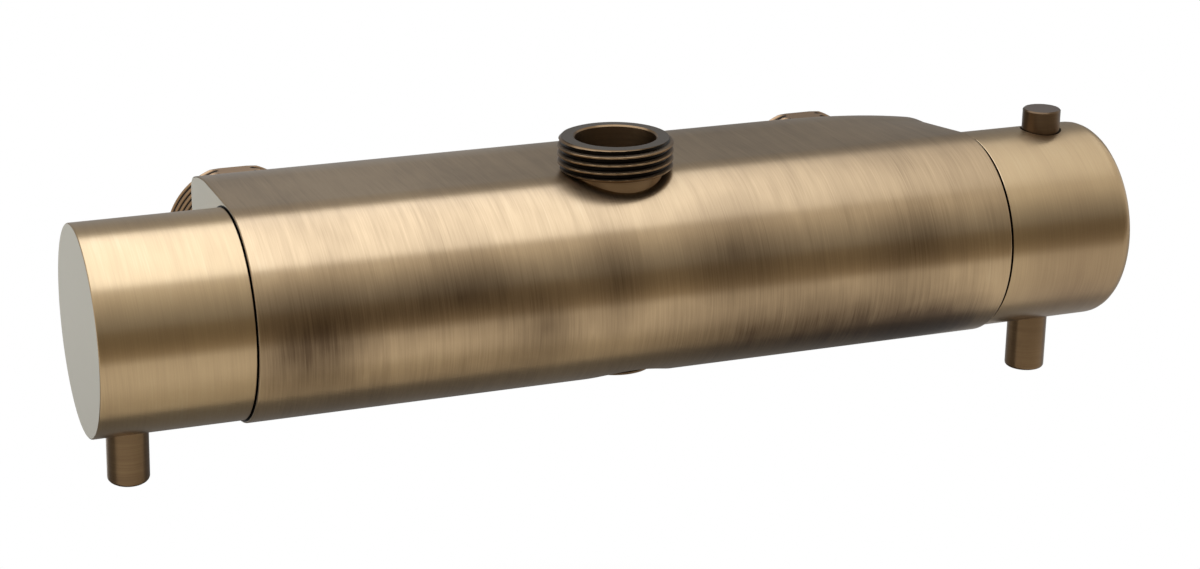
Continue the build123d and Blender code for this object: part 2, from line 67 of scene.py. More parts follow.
camera = bpy.data.objects.new("camera", bpy.data.cameras.new("camera"))
bpy.context.scene.collection.objects.link(camera)
turn = Matrix((right, -down, -forward)).transposed().to_4x4()
camera.matrix_world = Matrix.Translation(eye_from_bar + Vector((0, bar_y, 0))) @ turn
camera.data.sensor_width = sensor_width
camera.data.lens = focal_length / picture_width * sensor_width
camera.data.shift_x = 0.5 - lens_centre[0] / picture_width
camera.data.shift_y = (lens_centre[1] - picture_height / 2) / picture_width
camera.data.clip_start = 0.01
bpy.context.scene.camera = camera
bpy.context.scene.view_settings.view_transform = "Standard"

# Studio
# A white paper floor under one nearly square softbox. Grey cloths hang before and behind the
# bar and lie below it, all out of the camera's sight: the metal's dark bands show them.
paper_height, paper_reach = -0.16, 2.5
shadow_reach = 0.10, 0.19  # from the bar to where its shadow starts to fade and has gone
sky_light = 0.35  # strength of the white surroundings as a light
softbox_size, softbox_radiance, daylight = (1.03, 1.08), 2.42, "#D6E5FF"


def to_linear(hex_colour):
    """An sRGB hex colour as the linear red, green, blue and alpha that a shader takes."""
    channels = [int(hex_colour[i:i + 2], 16) / 255 for i in (1, 3, 5)]
    return [c / 12.92 if c <= 0.04045 else ((c + 0.055) / 1.055) ** 2.4 for c in channels] + [1.0]


def add(tree, kind, settings, inputs):
    """Adds a shader node with its settings, and gives each input a value or a link."""
    node = tree.nodes.new("ShaderNode" + kind)
    for name, value in settings.items():
        setattr(node, name, value)
    for name, value in inputs.items():
        if isinstance(value, bpy.types.NodeSocket):
            tree.links.new(value, node.inputs[name])
        else:
            node.inputs[name].default_value = value
    return node


def clear_tree(owner):
    """Empties the node tree of a material or a world and returns it."""
    owner.use_nodes = True
    owner.node_tree.nodes.clear()
    return owner.node_tree


def seen(tree):
    """1 for rays of the camera and those that metal or glass sends on, and 0 for lighting."""
    path = add(tree, "LightPath", {}, {})
    either = add(tree, "Math", {"operation": "MAXIMUM"},
                 {0: path.outputs["Is Camera Ray"], 1: path.outputs["Is Glossy Ray"]})
    return add(tree, "Math", {"operation": "MAXIMUM"},
               {0: either.outputs[0], 1: path.outputs["Is Transmission Ray"]}).outputs[0]


def sheet(name, corners):
    """A flat stage piece through its corners."""
    mesh = bpy.data.meshes.new(name)
    mesh.from_pydata(corners, [], [range(len(corners))])
    piece = bpy.data.objects.new(name, mesh)
    bpy.context.scene.collection.objects.link(piece)
    return piece


world = bpy.data.worlds.new("studio")
bpy.context.scene.world = world
tree = clear_tree(world)
level = add(tree, "Mix", {"data_type": "FLOAT"}, {0: seen(tree), 2: sky_light, 3: 1.0})
sky = add(tree, "Background", {}, {"Color": to_linear("#FFFFFF"), "Strength": level.outputs[0]})
add(tree, "OutputWorld", {}, {"Surface": sky.outputs[0]})

paper = sheet("paper", [(x * paper_reach, y * paper_reach, paper_height)
                        for x, y in ((-1, -1), (1, -1), (1, 1), (-1, 1))])
# Matt white paper: it keeps the object's shadow near by and fades to plain white further off.
white_paper = bpy.data.materials.new("white paper floor")
paper.data.materials.append(white_paper)
tree = clear_tree(white_paper)
place = add(tree, "TexCoord", {}, {}).outputs["Object"]
from_bar = add(tree, "Mapping", {}, {"Vector": place, "Location": (0, -bar_y, -paper_height)})
distance = add(tree, "VectorMath", {"operation": "LENGTH"}, {0: from_bar.outputs[0]})
far = add(tree, "MapRange", {"interpolation_type": "SMOOTHSTEP"},
          {"Value": distance.outputs["Value"], "From Min": shadow_reach[0],
           "From Max": shadow_reach[1]})
faded = add(tree, "Math", {"operation": "MULTIPLY"}, {0: far.outputs[0], 1: seen(tree)})
matt = add(tree, "BsdfDiffuse", {}, {"Color": to_linear("#FFF3DC")})
glow = add(tree, "Emission", {}, {"Color": to_linear("#FFFFFF"), "Strength": 1.0})
blend = add(tree, "MixShader", {}, {0: faded.outputs[0], 1: matt.outputs[0], 2: glow.outputs[0]})
add(tree, "OutputMaterial", {}, {"Surface": blend.outputs[0]})


def hung_cloth(name, corners, levels, heights, tint):
    """A glowing cloth that only the metal shows: its brightness runs evenly from the first
    level, at the first height, to the second one."""
    piece = sheet(name, corners)
    piece.visible_camera = piece.visible_diffuse = piece.visible_shadow = False
    material = bpy.data.materials.new(name)
    piece.data.materials.append(material)
    tree = clear_tree(material)
    place = add(tree, "TexCoord", {}, {}).outputs["Object"]
    height = add(tree, "SeparateXYZ", {}, {0: place})
    level = add(tree, "MapRange", {}, {"Value": height.outputs["Z"], "From Min": heights[0],
                                       "From Max": heights[1], "To Min": levels[0],
                                       "To Max": levels[1]})
    glow = add(tree, "Emission", {}, {"Color": to_linear(tint), "Strength": level.outputs[0]})
    add(tree, "OutputMaterial", {}, {"Surface": glow.outputs[0]})


def upright(y, low, high, first=-1.8, last=1.8):
    """The four corners of an upright cloth that hangs across the studio at y."""
    return [(first, y, low), (last, y, low), (last, y, high), (first, y, high)]


def lying(first, last, near, far, z=-0.12):
    """The four corners of a cloth that lies level, below the bar."""
    return [(first, near, z), (last, near, z), (last, far, z), (first, far, z)]


# name, corners, the two levels, their heights, and tint
cloths = (
    ("front cloth", upright(-0.50, paper_height + 0.02, 0.12), (0.50, 0.30), (-0.14, 0.0), "#FFF0D8"),
    ("upper front cloth", upright(-0.501, 0.12, 0.60), (0.38, 1.1), (0.12, 0.60), "#FFFFFF"),
    ("rear cloth", upright(0.90, paper_height, 0.95), (0.38, 0.50), (0.0, 0.6), "#FFFFFF"),
    ("right rear cloth", upright(0.895, paper_height, 0.95, 0.30), (0.26, 0.34), (0.0, 0.6),
     "#FFFFFF"),
    ("low cloth", lying(-0.5, 0.16, -0.075, 0.14), (0.2, 0.2), (-0.2, 0.2), "#FFFFFF"),
    ("right low cloth", lying(0.16, 0.7, -0.075, 0.14), (0.55, 0.55), (-0.2, 0.2), "#FFFFFF"),
    ("rear low cloth", lying(-0.12, 0.9, 0.14, 0.7), (0.45, 0.45), (-0.2, 0.2), "#FFFFFF"),
)
for cloth in cloths:
    hung_cloth(*cloth)

softbox = bpy.data.objects.new("softbox", bpy.data.lights.new("softbox", "AREA"))
bpy.context.scene.collection.objects.link(softbox)
softbox.location = (-0.135, 0.065, 0.75)
softbox.data.shape = "RECTANGLE"
softbox.data.size, softbox.data.size_y = softbox_size
softbox.data.color = to_linear(daylight)[:3]
softbox.data.energy = softbox_radiance * math.pi * softbox_size[0] * softbox_size[1]

# Bar
# The body is a cast brass D-section, round in front and flat at the back, bored from both
# ends. It is linished round the bar, plated antique bronze and rubbed back unevenly.
body_low, body_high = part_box("body")
fullness = 0.35 * mm  # the plated bar stands this much proud of its machined size
front_radius = bar_y - body_low.y + fullness
back = body_high.y - bar_y
shoulder, back_half_height, back_corner = 20.3 * mm, 20.6 * mm + fullness, 4.0 * mm
edge_break = 0.4 * mm
past_edge = edge_break + 0.1 * mm  # from an end face to where the straight length starts
fall, fall_start = 2.4 * mm, 45.0 * mm  # how far the top falls at the back, and from which x
outlet_recess_radius, outlet_recess_top = 14.0 * mm, -13.0 * mm
outlet_socket_radius, outlet_socket_floor = 11.1 * mm, 14.0 * mm
inlet_x, inlet_socket_radius, inlet_socket_floor = 75.0 * mm, 10.5 * mm, 27.2 * mm
drill_depth = 20 * mm  # past the bar's skin from each of these floors
# radius and depth of the wide mouth and of the pocket behind it, at the flow end and the other
cartridge_pockets = {-1: (15.5 * mm, 10.5 * mm, 14.0 * mm, 40.5 * mm),
                     1: (17.5 * mm, 12.5 * mm, 16.0 * mm, 56.5 * mm)}


def arc(centre, radius, first, last, count):
    """Points on a circle from the first angle to the last, in degrees, both included."""
    turn = np.radians(np.linspace(first, last, count))
    return np.stack([centre[0] + radius * np.cos(turn), centre[1] + radius * np.sin(turn)], 1)


def shade(mesh):
    """Smooth shading, with edges past 32 degrees kept sharp."""
    mesh.shade_smooth()
    mesh.set_sharp_from_angle(angle=math.radians(32))


def skin(name, grid, ring=False):
    """A closed mesh over a grid of points: its rows run along a profile and its columns
    close round it. The last row joins the first in a ring, or else each end row is closed
    to a pole at its middle. Faces that point inwards, by the sign of the volume, turn."""
    rows, columns = grid.shape[:2]
    points = grid.reshape(-1, 3)
    index = np.arange(rows * columns).reshape(rows, columns)
    near, far = (index, np.roll(index, -1, 0)) if ring else (index[:-1], index[1:])
    quads = np.stack([near, np.roll(near, -1, 1), np.roll(far, -1, 1), far], 2).reshape(-1, 4)
    a, b, c, d = (points[quads[:, k]] - points.mean(0) for k in range(4))
    volume = (a * np.cross(b, c)).sum() + (a * np.cross(c, d)).sum()
    faces = quads.tolist()
    if not ring:
        points = np.vstack([points, grid[0].mean(0), grid[-1].mean(0)])
        for edge, pole, order in ((index[0], len(points) - 2, -1), (index[-1], len(points) - 1, 1)):
            fan = np.stack([edge, np.roll(edge, -1), np.full(columns, pole)], 1)
            faces += fan[:, ::order].tolist()
    if volume < 0:
        faces = [face[::-1] for face in faces]
    mesh = bpy.data.meshes.new(name)
    mesh.from_pydata(points.tolist(), [], faces)
    shade(mesh)
    piece = bpy.data.objects.new(name, mesh)
    bpy.context.scene.collection.objects.link(piece)
    return piece


def rounded(corners, support=0.06 * mm):
    """The closed profile through corners (place, radius, rounding) as two arrays. Each
    rounding is an arc between the two sides, with a support point close on each side."""
    profile = []
    for k, (place, radius, rounding) in enumerate(corners):
        here = np.array([place, radius])
        if rounding == 0:
            profile.append(here)
            continue
        before = np.array(corners[k - 1][:2]) - here
        after = np.array(corners[(k + 1) % len(corners)][:2]) - here
        before, after = before / np.linalg.norm(before), after / np.linalg.norm(after)
        half = math.acos(before @ after) / 2
        reach = rounding / math.tan(half)
        middle = (before + after) / np.linalg.norm(before + after)
        centre = here + middle * rounding / math.sin(half)
        first, last = here + before * reach - centre, here + after * reach - centre
        start, end = math.atan2(first[1], first[0]), math.atan2(last[1], last[0])
        end = start + (end - start + math.pi) % (2 * math.pi) - math.pi
        turns = np.linspace(start, end, 7)
        round_points = centre + rounding * np.stack([np.cos(turns), np.sin(turns)], 1)
        profile += [here + before * (reach + support), *round_points,
                    here + after * (reach + support)]
    return np.array(profile).T


def turned(name, place, radius, origin, along, turns=None, ring=False):
    """A turned piece: each point of a profile, at a place along the axis and a radius from
    it, is carried round the axis. The radius may differ from turn to turn."""
    along = Vector(along).normalized()
    side = Vector((1, 0, 0)) if abs(along.x) < 0.5 else Vector((0, 1, 0))
    side = (side - side.dot(along) * along).normalized()
    other = along.cross(side)
    if turns is None:
        turns = np.linspace(0, 2 * math.pi, 192, endpoint=False)
    radius = radius[:, None] if radius.ndim == 1 else radius
    grid = (np.array(origin) + place[:, None, None] * np.array(along)
            + (radius * np.cos(turns))[..., None] * np.array(side)
            + (radius * np.sin(turns))[..., None] * np.array(other))
    return skin(name, grid, ring)


def cut(piece, *tools):
    """Cuts the tools' shapes out of the piece and removes the tools."""
    for tool in tools:
        cutter = piece.modifiers.new("cut", "BOOLEAN")
        cutter.operation, cutter.object, cutter.solver = "DIFFERENCE", tool, "EXACT"
    graph = bpy.context.evaluated_depsgraph_get()
    whole = piece.data
    piece.data = bpy.data.meshes.new_from_object(piece.evaluated_get(graph))
    piece.modifiers.clear()
    bpy.data.meshes.remove(whole)
    piece.data.name = piece.name
    shade(piece.data)
    for tool in tools:
        bpy.data.objects.remove(tool)


def drill(origin, along, radius, depth):
    """A cylinder to cut a hole with, from the origin to its depth along an axis."""
    return turned("drill", np.array([0, depth]), np.array([radius, radius]), origin, along)


bar_face = {-1: body_low.x + 0.3 * mm, 1: body_high.x}  # linished back a little at the flow end
arc_radius = (((back - shoulder) ** 2 + (front_radius - back_half_height) ** 2)
              / (2 * (front_radius - back_half_height)))
arc_centre = (shoulder, front_radius - arc_radius)
corner_y = back - back_corner
corner_z = arc_centre[1] + math.sqrt((arc_radius - back_corner) ** 2 - (corner_y - shoulder) ** 2)
corner_turn = math.degrees(math.atan2(corner_z - arc_centre[1], corner_y - shoulder))
upper = np.vstack([
    np.stack([np.linspace(0, shoulder, 12, endpoint=False), np.full(12, front_radius)], 1),
    arc(arc_centre, arc_radius, 90, corner_turn, 16)[:-1],
    arc((corner_y, corner_z), back_corner, corner_turn, 0, 12),
    np.stack([np.full(14, back), np.linspace(corner_z, 0, 15)[1:]], 1)])
lower = upper[-2:0:-1] * (1, -1)
outline = np.vstack([upper, lower, arc((0, 0), front_radius, 270, 90, 121)[:-1]])
tangent = np.roll(outline, -1, 0) - np.roll(outline, 1, 0)
inward = np.stack([tangent[:, 1], -tangent[:, 0]], 1) / np.linalg.norm(tangent, axis=1)[:, None]
spoke = outline / np.linalg.norm(outline, axis=1)[:, None]


def outline_at(x, inset=0.0):
    """The outline of the bar at x, drawn in by the inset. Towards the temperature end the top
    falls a little to the back, as the photo shows."""
    section = outline + inward * inset
    falling = np.clip((x - fall_start) / (body_high.x - fall_start), 0, 1)
    drop = fall * falling ** 3 * np.clip(section[:, 0] / shoulder, 0, 1)
    upper_share = np.clip(section[:, 1] / back_half_height, 0, 1)
    return section - np.column_stack([0 * drop, drop * upper_share])


def bar_row(x, section):
    """One row of the bar's skin: a section's points (y, z) from the bar's axis, at x."""
    return np.column_stack([np.full(len(section), x), section[:, 0] + bar_y, section[:, 1]])


def bar_end(end):
    """The rows of one end of the bar, from a ring half as wide as its pocket on the pocket's
    floor, out along the two bores and over the end face, to where the rounded edge ends."""
    mouth_radius, mouth_depth, pocket_radius, pocket_depth = cartridge_pockets[end]
    face = bar_face[end]
    bores = ((0.5 * pocket_radius, pocket_depth), (pocket_radius, pocket_depth),
             (pocket_radius, mouth_depth), (mouth_radius, mouth_depth), (mouth_radius, 0))
    rows = [bar_row(face - end * depth, spoke * radius) for radius, depth in bores]
    rows.append(bar_row(face, outline_at(face, past_edge)))
    for turn in np.radians(np.linspace(0, 90, 7)):
        rows.append(bar_row(face - end * edge_break * (1 - math.cos(turn)),
                            outline_at(face, edge_break * (1 - math.sin(turn)))))
    return rows


stations = np.linspace(bar_face[-1] + past_edge, bar_face[1] - past_edge, 61)
length = [bar_row(x, outline_at(x)) for x in stations]
bar = skin("bar", np.array(bar_end(-1) + length + bar_end(1)[::-1]))
cut(bar, drill((0, bar_y, outlet_recess_top), (0, 0, -1), outlet_recess_radius, drill_depth),
    drill((0, bar_y, outlet_socket_floor), (0, 0, 1), outlet_socket_radius, drill_depth),
    drill((-inlet_x, bar_y + inlet_socket_floor, 0), (0, 1, 0), inlet_socket_radius, drill_depth),
    drill((inlet_x, bar_y + inlet_socket_floor, 0), (0, 1, 0), inlet_socket_radius, drill_depth))

# The tone of the plate: what it is without patterns, the share of each pattern in it, and how
# far below and above the middle tone the dark, the light and the deepest tones lie
base_tone, line_share, streak_share, cloud_share = 0.285, 0.13, 0.11, 0.19
dark_below, light_above, deepest_below = 0.22, 0.14, 0.50
# the deepest tone, reached in dark smudges, and the blacks painted as shade in grooves and seam gaps
deepest, groove_shade_black, seam_shade_black = "#2E241B", "#14100C", "#0C0A08"
lines_slant = 0.06  # radians by which the linishing leans from square to the axis
anisotropy, end_face_rougher = 0.7, 0.30


def antique_bronze(name, light, middle, dark, axis, line_mm, roughness, wear, seed, smudges_and_shade=(),
                   end_tone="#C6C2B5", groove_shade=None, seam_shade=None):
    """Antique bronze plate over linished brass. The linishing shows as short fine lines
    round the axis, drawn about three times as coarse as the real ones so that they show.
    The plate is darker in clouds, in streaks that follow the lines, and in smudges, each a
    centre, a size and a strength; the smudges are partly wear of the plate and partly painted
    shade. Faces square to the axis are not linished: they are an even satin in the end tone.
    Black is painted as shade in grooves, given by a point of their axis, their middle radius
    and half their depth, and in a seam, given by its two places along the axis and the radius
    within which it lies."""
    material = bpy.data.materials.new(name)
    tree = clear_tree(material)
    coordinates = add(tree, "TexCoord", {}, {})
    place = coordinates.outputs["Object"]
    along = "XYZ".index(axis)
    facing = add(tree, "SeparateXYZ", {}, {0: coordinates.outputs["Normal"]})
    squareness = add(tree, "Math", {"operation": "ABSOLUTE"}, {0: facing.outputs[along]})
    end_face = add(tree, "MapRange", {}, {"Value": squareness.outputs[0], "From Min": 0.90,
                                          "From Max": 0.985}).outputs["Result"]

    def pattern(across_mm, round_mm, detail):
        """Noise with one size along the axis and another round it."""
        scale = [1 / (round_mm * mm)] * 3
        scale[along] = 1 / (across_mm * mm)
        rotation = [0.0, 0.0, 0.0]
        rotation[(along + 1) % 3] = lines_slant
        slanted = add(tree, "Mapping", {}, {"Vector": place, "Rotation": rotation})
        stretched = add(tree, "Mapping", {}, {"Vector": slanted.outputs[0], "Scale": scale,
                                              "Location": (seed, seed, seed)})
        return add(tree, "TexNoise", {}, {"Vector": stretched.outputs[0], "Scale": 1.0,
                                          "Detail": detail, "Roughness": 0.6}).outputs["Fac"]

    lines = pattern(line_mm, 14, 3.0)
    streaks = pattern(2.2, 26, 4.0)
    clouds = pattern(26, 34, 3.0)
    tone = add(tree, "Math", {"operation": "MULTIPLY_ADD"}, {0: lines, 1: line_share, 2: base_tone})
    for part, share in ((streaks, streak_share), (clouds, cloud_share)):
        tone = add(tree, "Math", {"operation": "MULTIPLY_ADD"},
                   {0: part, 1: share, 2: tone.outputs[0]})
    torn = add(tree, "MapRange", {"clamp": False}, {"Value": streaks, "From Min": -0.2,
                                                    "From Max": 1.2}).outputs["Result"]
    # Smudges darken the tone: partly wear of the plate, partly painted shade.
    for centre, size, strength in smudges_and_shade:
        moved = add(tree, "Mapping", {"vector_type": "TEXTURE"},
                    {"Vector": place, "Location": centre, "Scale": size})
        spot = add(tree, "TexGradient", {"gradient_type": "SPHERICAL"}, {"Vector": moved.outputs[0]})
        streaky = add(tree, "Math", {"operation": "MULTIPLY"}, {0: spot.outputs["Fac"], 1: torn})
        tone = add(tree, "Math", {"operation": "MULTIPLY_ADD"},
                   {0: streaky.outputs[0], 1: -strength, 2: tone.outputs[0]})
    colour = add(tree, "ValToRGB", {}, {"Fac": tone.outputs[0]})
    ramp = colour.color_ramp
    ramp.elements[0].position = wear - dark_below
    ramp.elements[1].position = wear + light_above
    ramp.elements[0].color, ramp.elements[1].color = to_linear(dark), to_linear(light)
    ramp.elements.new(wear).color = to_linear(middle)
    ramp.elements.new(max(wear - deepest_below, 0)).color = to_linear(deepest)
    rough = add(tree, "MapRange", {}, {"Value": tone.outputs[0], "From Min": wear - dark_below,
                                       "From Max": wear + light_above,
                                       "To Min": roughness + 0.07, "To Max": roughness - 0.02})
    rough = add(tree, "Math", {"operation": "MULTIPLY_ADD"},
                {0: end_face, 1: end_face_rougher, 2: rough.outputs["Result"]})
    stretch = add(tree, "MapRange", {}, {"Value": end_face, "To Min": anisotropy, "To Max": 0.0})
    shown = add(tree, "Mix", {"data_type": "RGBA"},
                {0: end_face, 6: colour.outputs["Color"], 7: to_linear(end_tone)})
    # Grooves are painted black as shade, but not on end faces or level flats.
    if groove_shade:
        centre, middle_radius, half_depth = groove_shade
        flat = [1.0, 1.0, 1.0]
        flat[along] = 0.0
        offset = add(tree, "VectorMath", {"operation": "SUBTRACT"}, {0: place, 1: centre})
        offset = add(tree, "VectorMath", {"operation": "MULTIPLY"}, {0: offset.outputs[0], 1: flat})
        offset = add(tree, "VectorMath", {"operation": "LENGTH"}, {0: offset.outputs[0]})
        offset = add(tree, "Math", {"operation": "SUBTRACT"},
                     {0: offset.outputs["Value"], 1: middle_radius})
        offset = add(tree, "Math", {"operation": "ABSOLUTE"}, {0: offset.outputs[0]})
        unshaded = add(tree, "MapRange", {}, {"Value": offset.outputs[0], "From Min": half_depth,
                                           "From Max": half_depth + 0.3 * mm})
        unshaded = add(tree, "Math", {"operation": "MAXIMUM"}, {0: unshaded.outputs[0], 1: end_face})
        level = add(tree, "Math", {"operation": "ABSOLUTE"}, {0: facing.outputs["Z"]})
        # level faces, such as a spanner's flats, are left out of the painted groove shade
        flats = add(tree, "MapRange", {}, {"Value": level.outputs[0], "From Min": 0.96,
                                           "From Max": 0.99})
        unshaded = add(tree, "Math", {"operation": "MAXIMUM"}, {0: unshaded.outputs[0], 1: flats.outputs[0]})
        shown = add(tree, "Mix", {"data_type": "RGBA"},
                    {0: unshaded.outputs[0], 6: to_linear(groove_shade_black), 7: shown.outputs[2]})
    # A seam is painted black as shade, on the faces inside the gap between the bar and a handle.
    if seam_shade:
        first, last, within = seam_shade
        spread = add(tree, "SeparateXYZ", {}, {0: place})
        station = add(tree, "Math", {"operation": "ABSOLUTE"}, {0: spread.outputs[along]})
        near = add(tree, "Math", {"operation": "COMPARE"},
                   {0: station.outputs[0], 1: (first + last) / 2, 2: (last - first) / 2})
        from_axis = add(tree, "VectorMath", {"operation": "MULTIPLY_ADD"},
                        {0: place, 1: (0.0, 1.0, 1.0), 2: (0.0, -bar_y, 0.0)})
        radius = add(tree, "VectorMath", {"operation": "LENGTH"}, {0: from_axis.outputs[0]})
        inside = add(tree, "Math", {"operation": "LESS_THAN"}, {0: radius.outputs["Value"], 1: within})
        black = add(tree, "Math", {"operation": "MULTIPLY"}, {0: near.outputs[0], 1: inside.outputs[0]})
        shown = add(tree, "Mix", {"data_type": "RGBA"},
                    {0: black.outputs[0], 6: shown.outputs[2], 7: to_linear(seam_shade_black)})
    relief = add(tree, "Bump", {}, {"Height": lines, "Strength": 0.2, "Distance": 0.02 * mm})
    grain = add(tree, "Tangent", {"direction_type": "RADIAL", "axis": axis}, {})
    metal = add(tree, "BsdfPrincipled", {},
                {"Base Color": shown.outputs[2], "Metallic": 1.0,
                 "Roughness": rough.outputs[0], "Anisotropic": stretch.outputs[0],
                 "Anisotropic Rotation": 0.25, "Normal": relief.outputs["Normal"],
                 "Tangent": grain.outputs[0]})
    add(tree, "OutputMaterial", {}, {"Surface": metal.outputs[0]})
    return material


def finish(piece, material, body, node):
    """Gives a piece its finish, hangs it on the body it rides on, and hides the solid it stands for."""
    piece.data.materials.clear()
    piece.data.materials.append(material)
    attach(piece, body)
    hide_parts(node)


# Dark smudges: partly where the plate was rubbed least, and partly painted shade on the front
# towards the temperature end: the middle of each smudge from the bar's axis and its
# reach, in mm, and its strength
bar_smudges_and_shade = (
    ((-80, -22, 0), (18, 20, 15), 0.42), ((-62, -23, 4), (18, 20, 10), 0.20),
    ((-45, -23, 6), (22, 20, 10), 0.26), ((-25, -22, -3), (11, 22, 12), 0.26),
    ((-8, -22, 5), (10, 22, 14), 0.26), ((20, -21, 9), (18, 22, 13), 0.30),
    ((25, -20, -11), (32, 20, 16), 0.34), ((58, -19, -14), (36, 20, 15), 0.38),
    ((78, -16, -18), (22, 18, 12), 0.40), ((66, -23, 6), (16, 20, 11), 0.18),
)
bar_smudges_and_shade = [((x * mm, y * mm + bar_y, z * mm), tuple(size * mm for size in reach), strength)
               for (x, y, z), reach, strength in bar_smudges_and_shade]
# painted shade: black on the bar's end faces inside the seam gaps
bar_seam_shade = (-bar_face[-1] - 0.1 * mm, bar_face[1] + 0.1 * mm, front_radius - fullness)
# Straw-coloured metal shows through brown plate, and the smudges, partly painted shade, are nearly
# black.
bar_bronze = antique_bronze("antique bronze plate, linished bar", "#BDAC8C", "#AD9472", "#5E4C39",
                            "X", 0.3, 0.275, 0.53, 3.0, bar_smudges_and_shade, seam_shade=bar_seam_shade)
finish(bar, bar_bronze, "mixer", "body")

# Handles
# Each is a cup turned from brass bar, with a hub inside for the splined spindle, linished
# and plated like the bar. A thin gap at the rim, painted black inside as shade, lets it
# turn clear of the body.
handle_wall, handle_end_wall = 4.0 * mm, 3.0 * mm
hub_radius, hub_length, spline_radius, spline_depth = 9.0 * mm, 16.0 * mm, 4.1 * mm, 14.5 * mm
end_rounding, rim_rounding = {-1: 0.35 * mm, 1: 3.0 * mm}, 0.25 * mm
rim_gap = {-1: 0.25 * mm, 1: 0.75 * mm}
rim = {end: bar_face[end] + end * rim_gap[end] for end in (-1, 1)}
lever_line = {-1: body_low.x - 23.7 * mm, 1: body_high.x + 20.3 * mm}
# start above the bar's axis, radius and depth of the button's guide hole, of its spring's
# pocket in the hub and of its stem's hole
button_holes = ((10 * mm, 4.9 * mm, 25 * mm), (8.3 * mm, 3.6 * mm, 2 * mm),
                (6.9 * mm, 2.08 * mm, 3 * mm))
flow_lean = math.radians(-6)  # at rest the flow lever's foot leans a little to the wall
handle_up = {-1: Vector((0, math.sin(flow_lean), math.cos(flow_lean))), 1: Vector((0, 0, 1))}
handle_name = {-1: "flow", 1: "temperature"}
# painted shade on the lower side of the temperature handle
handle_painted_shade = [((112 * mm, bar_y - 10 * mm, -10 * mm), (30 * mm, 40 * mm, 32 * mm), 0.40)]
handle_radius = (flow_high.z - flow_low.z) / 2
# painted shade: black on the handles' rims inside the seam gaps
handle_seam_shade = (-rim[-1] - 0.15 * mm, rim[1] + 0.35 * mm, handle_radius - 0.05 * mm)
# Rubbed back further than the bar: an even straw brown, with painted shade on the temperature handle's
# lower side, below the button.
handle_bronze = antique_bronze("antique bronze plate, linished handle", "#BDAC8C", "#B09773",
                               "#8A7358", "X", 0.28, 0.285, 0.52, 11.0, handle_painted_shade,
                               seam_shade=handle_seam_shade)

for end in (-1, 1):
    low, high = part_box(f"{handle_name[end]}_handle")
    radius = (high.z - low.z) / 2
    face = low.x if end < 0 else high.x
    inner_face = face - end * handle_end_wall
    hub_face = inner_face - end * hub_length
    corners = [(face, 0.5 * radius, 0), (face, radius, end_rounding[end]),
               (rim[end], radius, rim_rounding), (rim[end], radius - handle_wall, rim_rounding),
               (inner_face, radius - handle_wall, 0), (inner_face, hub_radius, 0),
               (hub_face, hub_radius, 0), (hub_face, spline_radius, 0),
               (hub_face + end * spline_depth, spline_radius, 0)]
    cup = turned(f"{handle_name[end]}_cup", *rounded(corners), (0, bar_y, 0), (1, 0, 0))
    if end > 0:
        for start, radius, depth in button_holes:
            foot = Vector((lever_line[end], bar_y, 0)) + handle_up[end] * start
            cut(cup, drill(foot, handle_up[end], radius, depth))
    finish(cup, handle_bronze, f"{handle_name[end]}_knob", f"{handle_name[end]}_handle")

# Levers
# A plated brass pin with a thin screwed stud stands out under each handle. The plate is
# left darker here than on the handles.
lever_radius, lever_seat, lever_reach, lever_rounding = 4.75 * mm, 21.5 * mm, 37.4 * mm, 0.8 * mm
stud_radius, stud_start = 2.9 * mm, 4.4 * mm
# A darker brown than the handles, a little rubbed where it catches the light.
lever_bronze = antique_bronze("antique bronze plate, dark turned pin", "#87704F", "#6F5940",
                              "#4A3928", "Z", 0.35, 0.30, 0.50, 23.0, end_tone="#675C52")

for end in (-1, 1):
    corners = [(stud_start, 0.5 * stud_radius, 0), (stud_start, stud_radius, 0),
               (lever_seat, stud_radius, 0), (lever_seat, lever_radius, 0),
               (lever_reach, lever_radius, lever_rounding), (lever_reach, 0.4 * lever_radius, 0)]
    pin = turned(f"{handle_name[end]}_pin", *rounded(corners), (lever_line[end], bar_y, 0),
                 -handle_up[end])
    finish(pin, lever_bronze, f"{handle_name[end]}_knob", f"{handle_name[end]}_lever")

# Safety button
# A turned brass cap on a stem, plated as dark as the levers. A flange under the handle's
# wall keeps it in, and its rim is chamfered.
button_radius, button_top, button_chamfer = 4.5 * mm, 28.5 * mm, 0.3 * mm
flange_radius, flange_low, flange_high = 5.5 * mm, 17.3 * mm, 18.5 * mm
stem_radius, stem_end = 2.0 * mm, 10.5 * mm
profile = np.array([(stem_end, 0.5 * stem_radius), (stem_end, stem_radius),
                    (flange_low, stem_radius), (flange_low, flange_radius),
                    (flange_high, flange_radius), (flange_high, button_radius),
                    (button_top - button_chamfer, button_radius),
                    (button_top, button_radius - button_chamfer),
                    (button_top, 0.5 * button_radius)]).T
# Nearly black round the side, and a worn grey brown on top.
button_bronze = antique_bronze("antique bronze plate, near-black button", "#6B553D", "#574532",
                               "#382B20", "Z", 0.35, 0.30, 0.50, 29.0, end_tone="#5F554C")
cap = turned("button_cap", *profile, (lever_line[1], bar_y, 0), handle_up[1])
finish(cap, button_bronze, "button", "safety_button")

# Outlets
# Brass nipples with a pipe thread, screwed into the bar above and below: G3/4 above and
# G1/2 below. The thread is cut after chamfering; the upper one's grooves are painted near
# black as shade.
pitch, thread_depth = 1.814 * mm, 1.162 * mm  # both sizes have 14 threads to the inch
outlet_crest, outlet_root, lower_crest = 13.22 * mm, 12.06 * mm, 10.48 * mm


